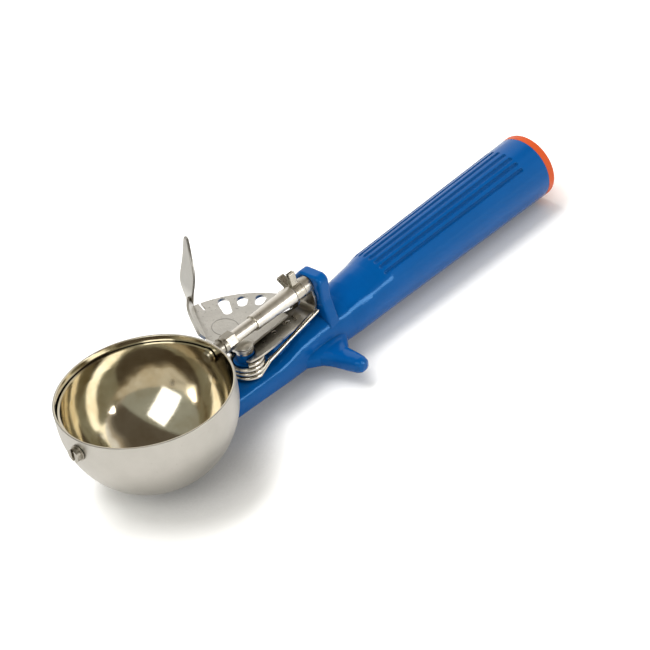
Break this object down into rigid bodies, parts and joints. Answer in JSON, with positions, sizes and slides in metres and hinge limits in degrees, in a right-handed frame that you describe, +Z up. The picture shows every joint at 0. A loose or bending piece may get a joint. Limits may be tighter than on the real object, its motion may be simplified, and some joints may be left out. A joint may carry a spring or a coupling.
{
  "type": "lever ice cream scoop",
  "caption": "Lever ice cream scoop with a round steel bowl, a geared sweeping scraper, a thumb lever and a blue grooved grip with an orange end",
  "frame": {"origin": "middle of the whole scoop's footprint, at the height of the grip's underside", "axes": "+X from the bowl to the grip's end, +Y towards the thumb lever, +Z up out of the bowl"},
  "size_m": [0.2182, 0.0662, 0.0481],
  "materials": {
    "steel_bowl": "polished inside, satin outside",
    "steel_satin": "satin",
    "steel_sheet": "tumbled satin sheet",
    "spring_wire": "drawn wire",
    "pinion_metal": "dull cast",
    "brass_bush": "machined",
    "blue_plastic": "moulded, semi-gloss",
    "orange_plastic": "moulded, matte"
  },
  "bodies": {
    "scoop_body": {"bowl": "steel_bowl", "bowl_tang": "steel_satin", "handle": "blue_plastic", "end_cap": "orange_plastic", "neck_bush": "steel_satin", "sleeve_nut": "steel_satin", "shaft_sleeve": "steel_sheet", "frame_bracket": "steel_sheet", "bracket_rivets": "steel_satin", "rear_bush": "brass_bush", "pivot_pin": "steel_satin", "pivot_washer": "steel_satin", "return_spring": "spring_wire"},
    "thumb_lever": {"lever_plate": "steel_sheet", "lever_bush": "brass_bush"},
    "scraper_drive": {"scraper_blade": "steel_bowl", "scraper_hub": "steel_satin", "shaft": "steel_satin", "pinion": "pinion_metal", "pinion_pin": "steel_satin", "front_pin": "steel_satin", "front_washer": "steel_satin", "shaft_clip": "spring_wire"}
  },
  "joints": [
    {"name": "lever_joint", "type": "hinge", "parent": "scoop_body", "child": "thumb_lever", "pos_m": [-0.03555, -0.0041, 0.02375], "axis": [0, 0, -1], "range_deg": [0, 46], "stiffness_Nm_per_rad": 0.15, "springref_deg": -20.05},
    {"name": "scraper_joint", "type": "hinge", "parent": "scoop_body", "child": "scraper_drive", "pos_m": [-0.02785, -0.0041, 0.02975], "axis": [-1, 0, 0], "range_deg": [0, 174]}
  ],
  "couplings": [
    {"joint": "scraper_joint", "follows": "lever_joint", "ratio": 3.7815}
  ]
}
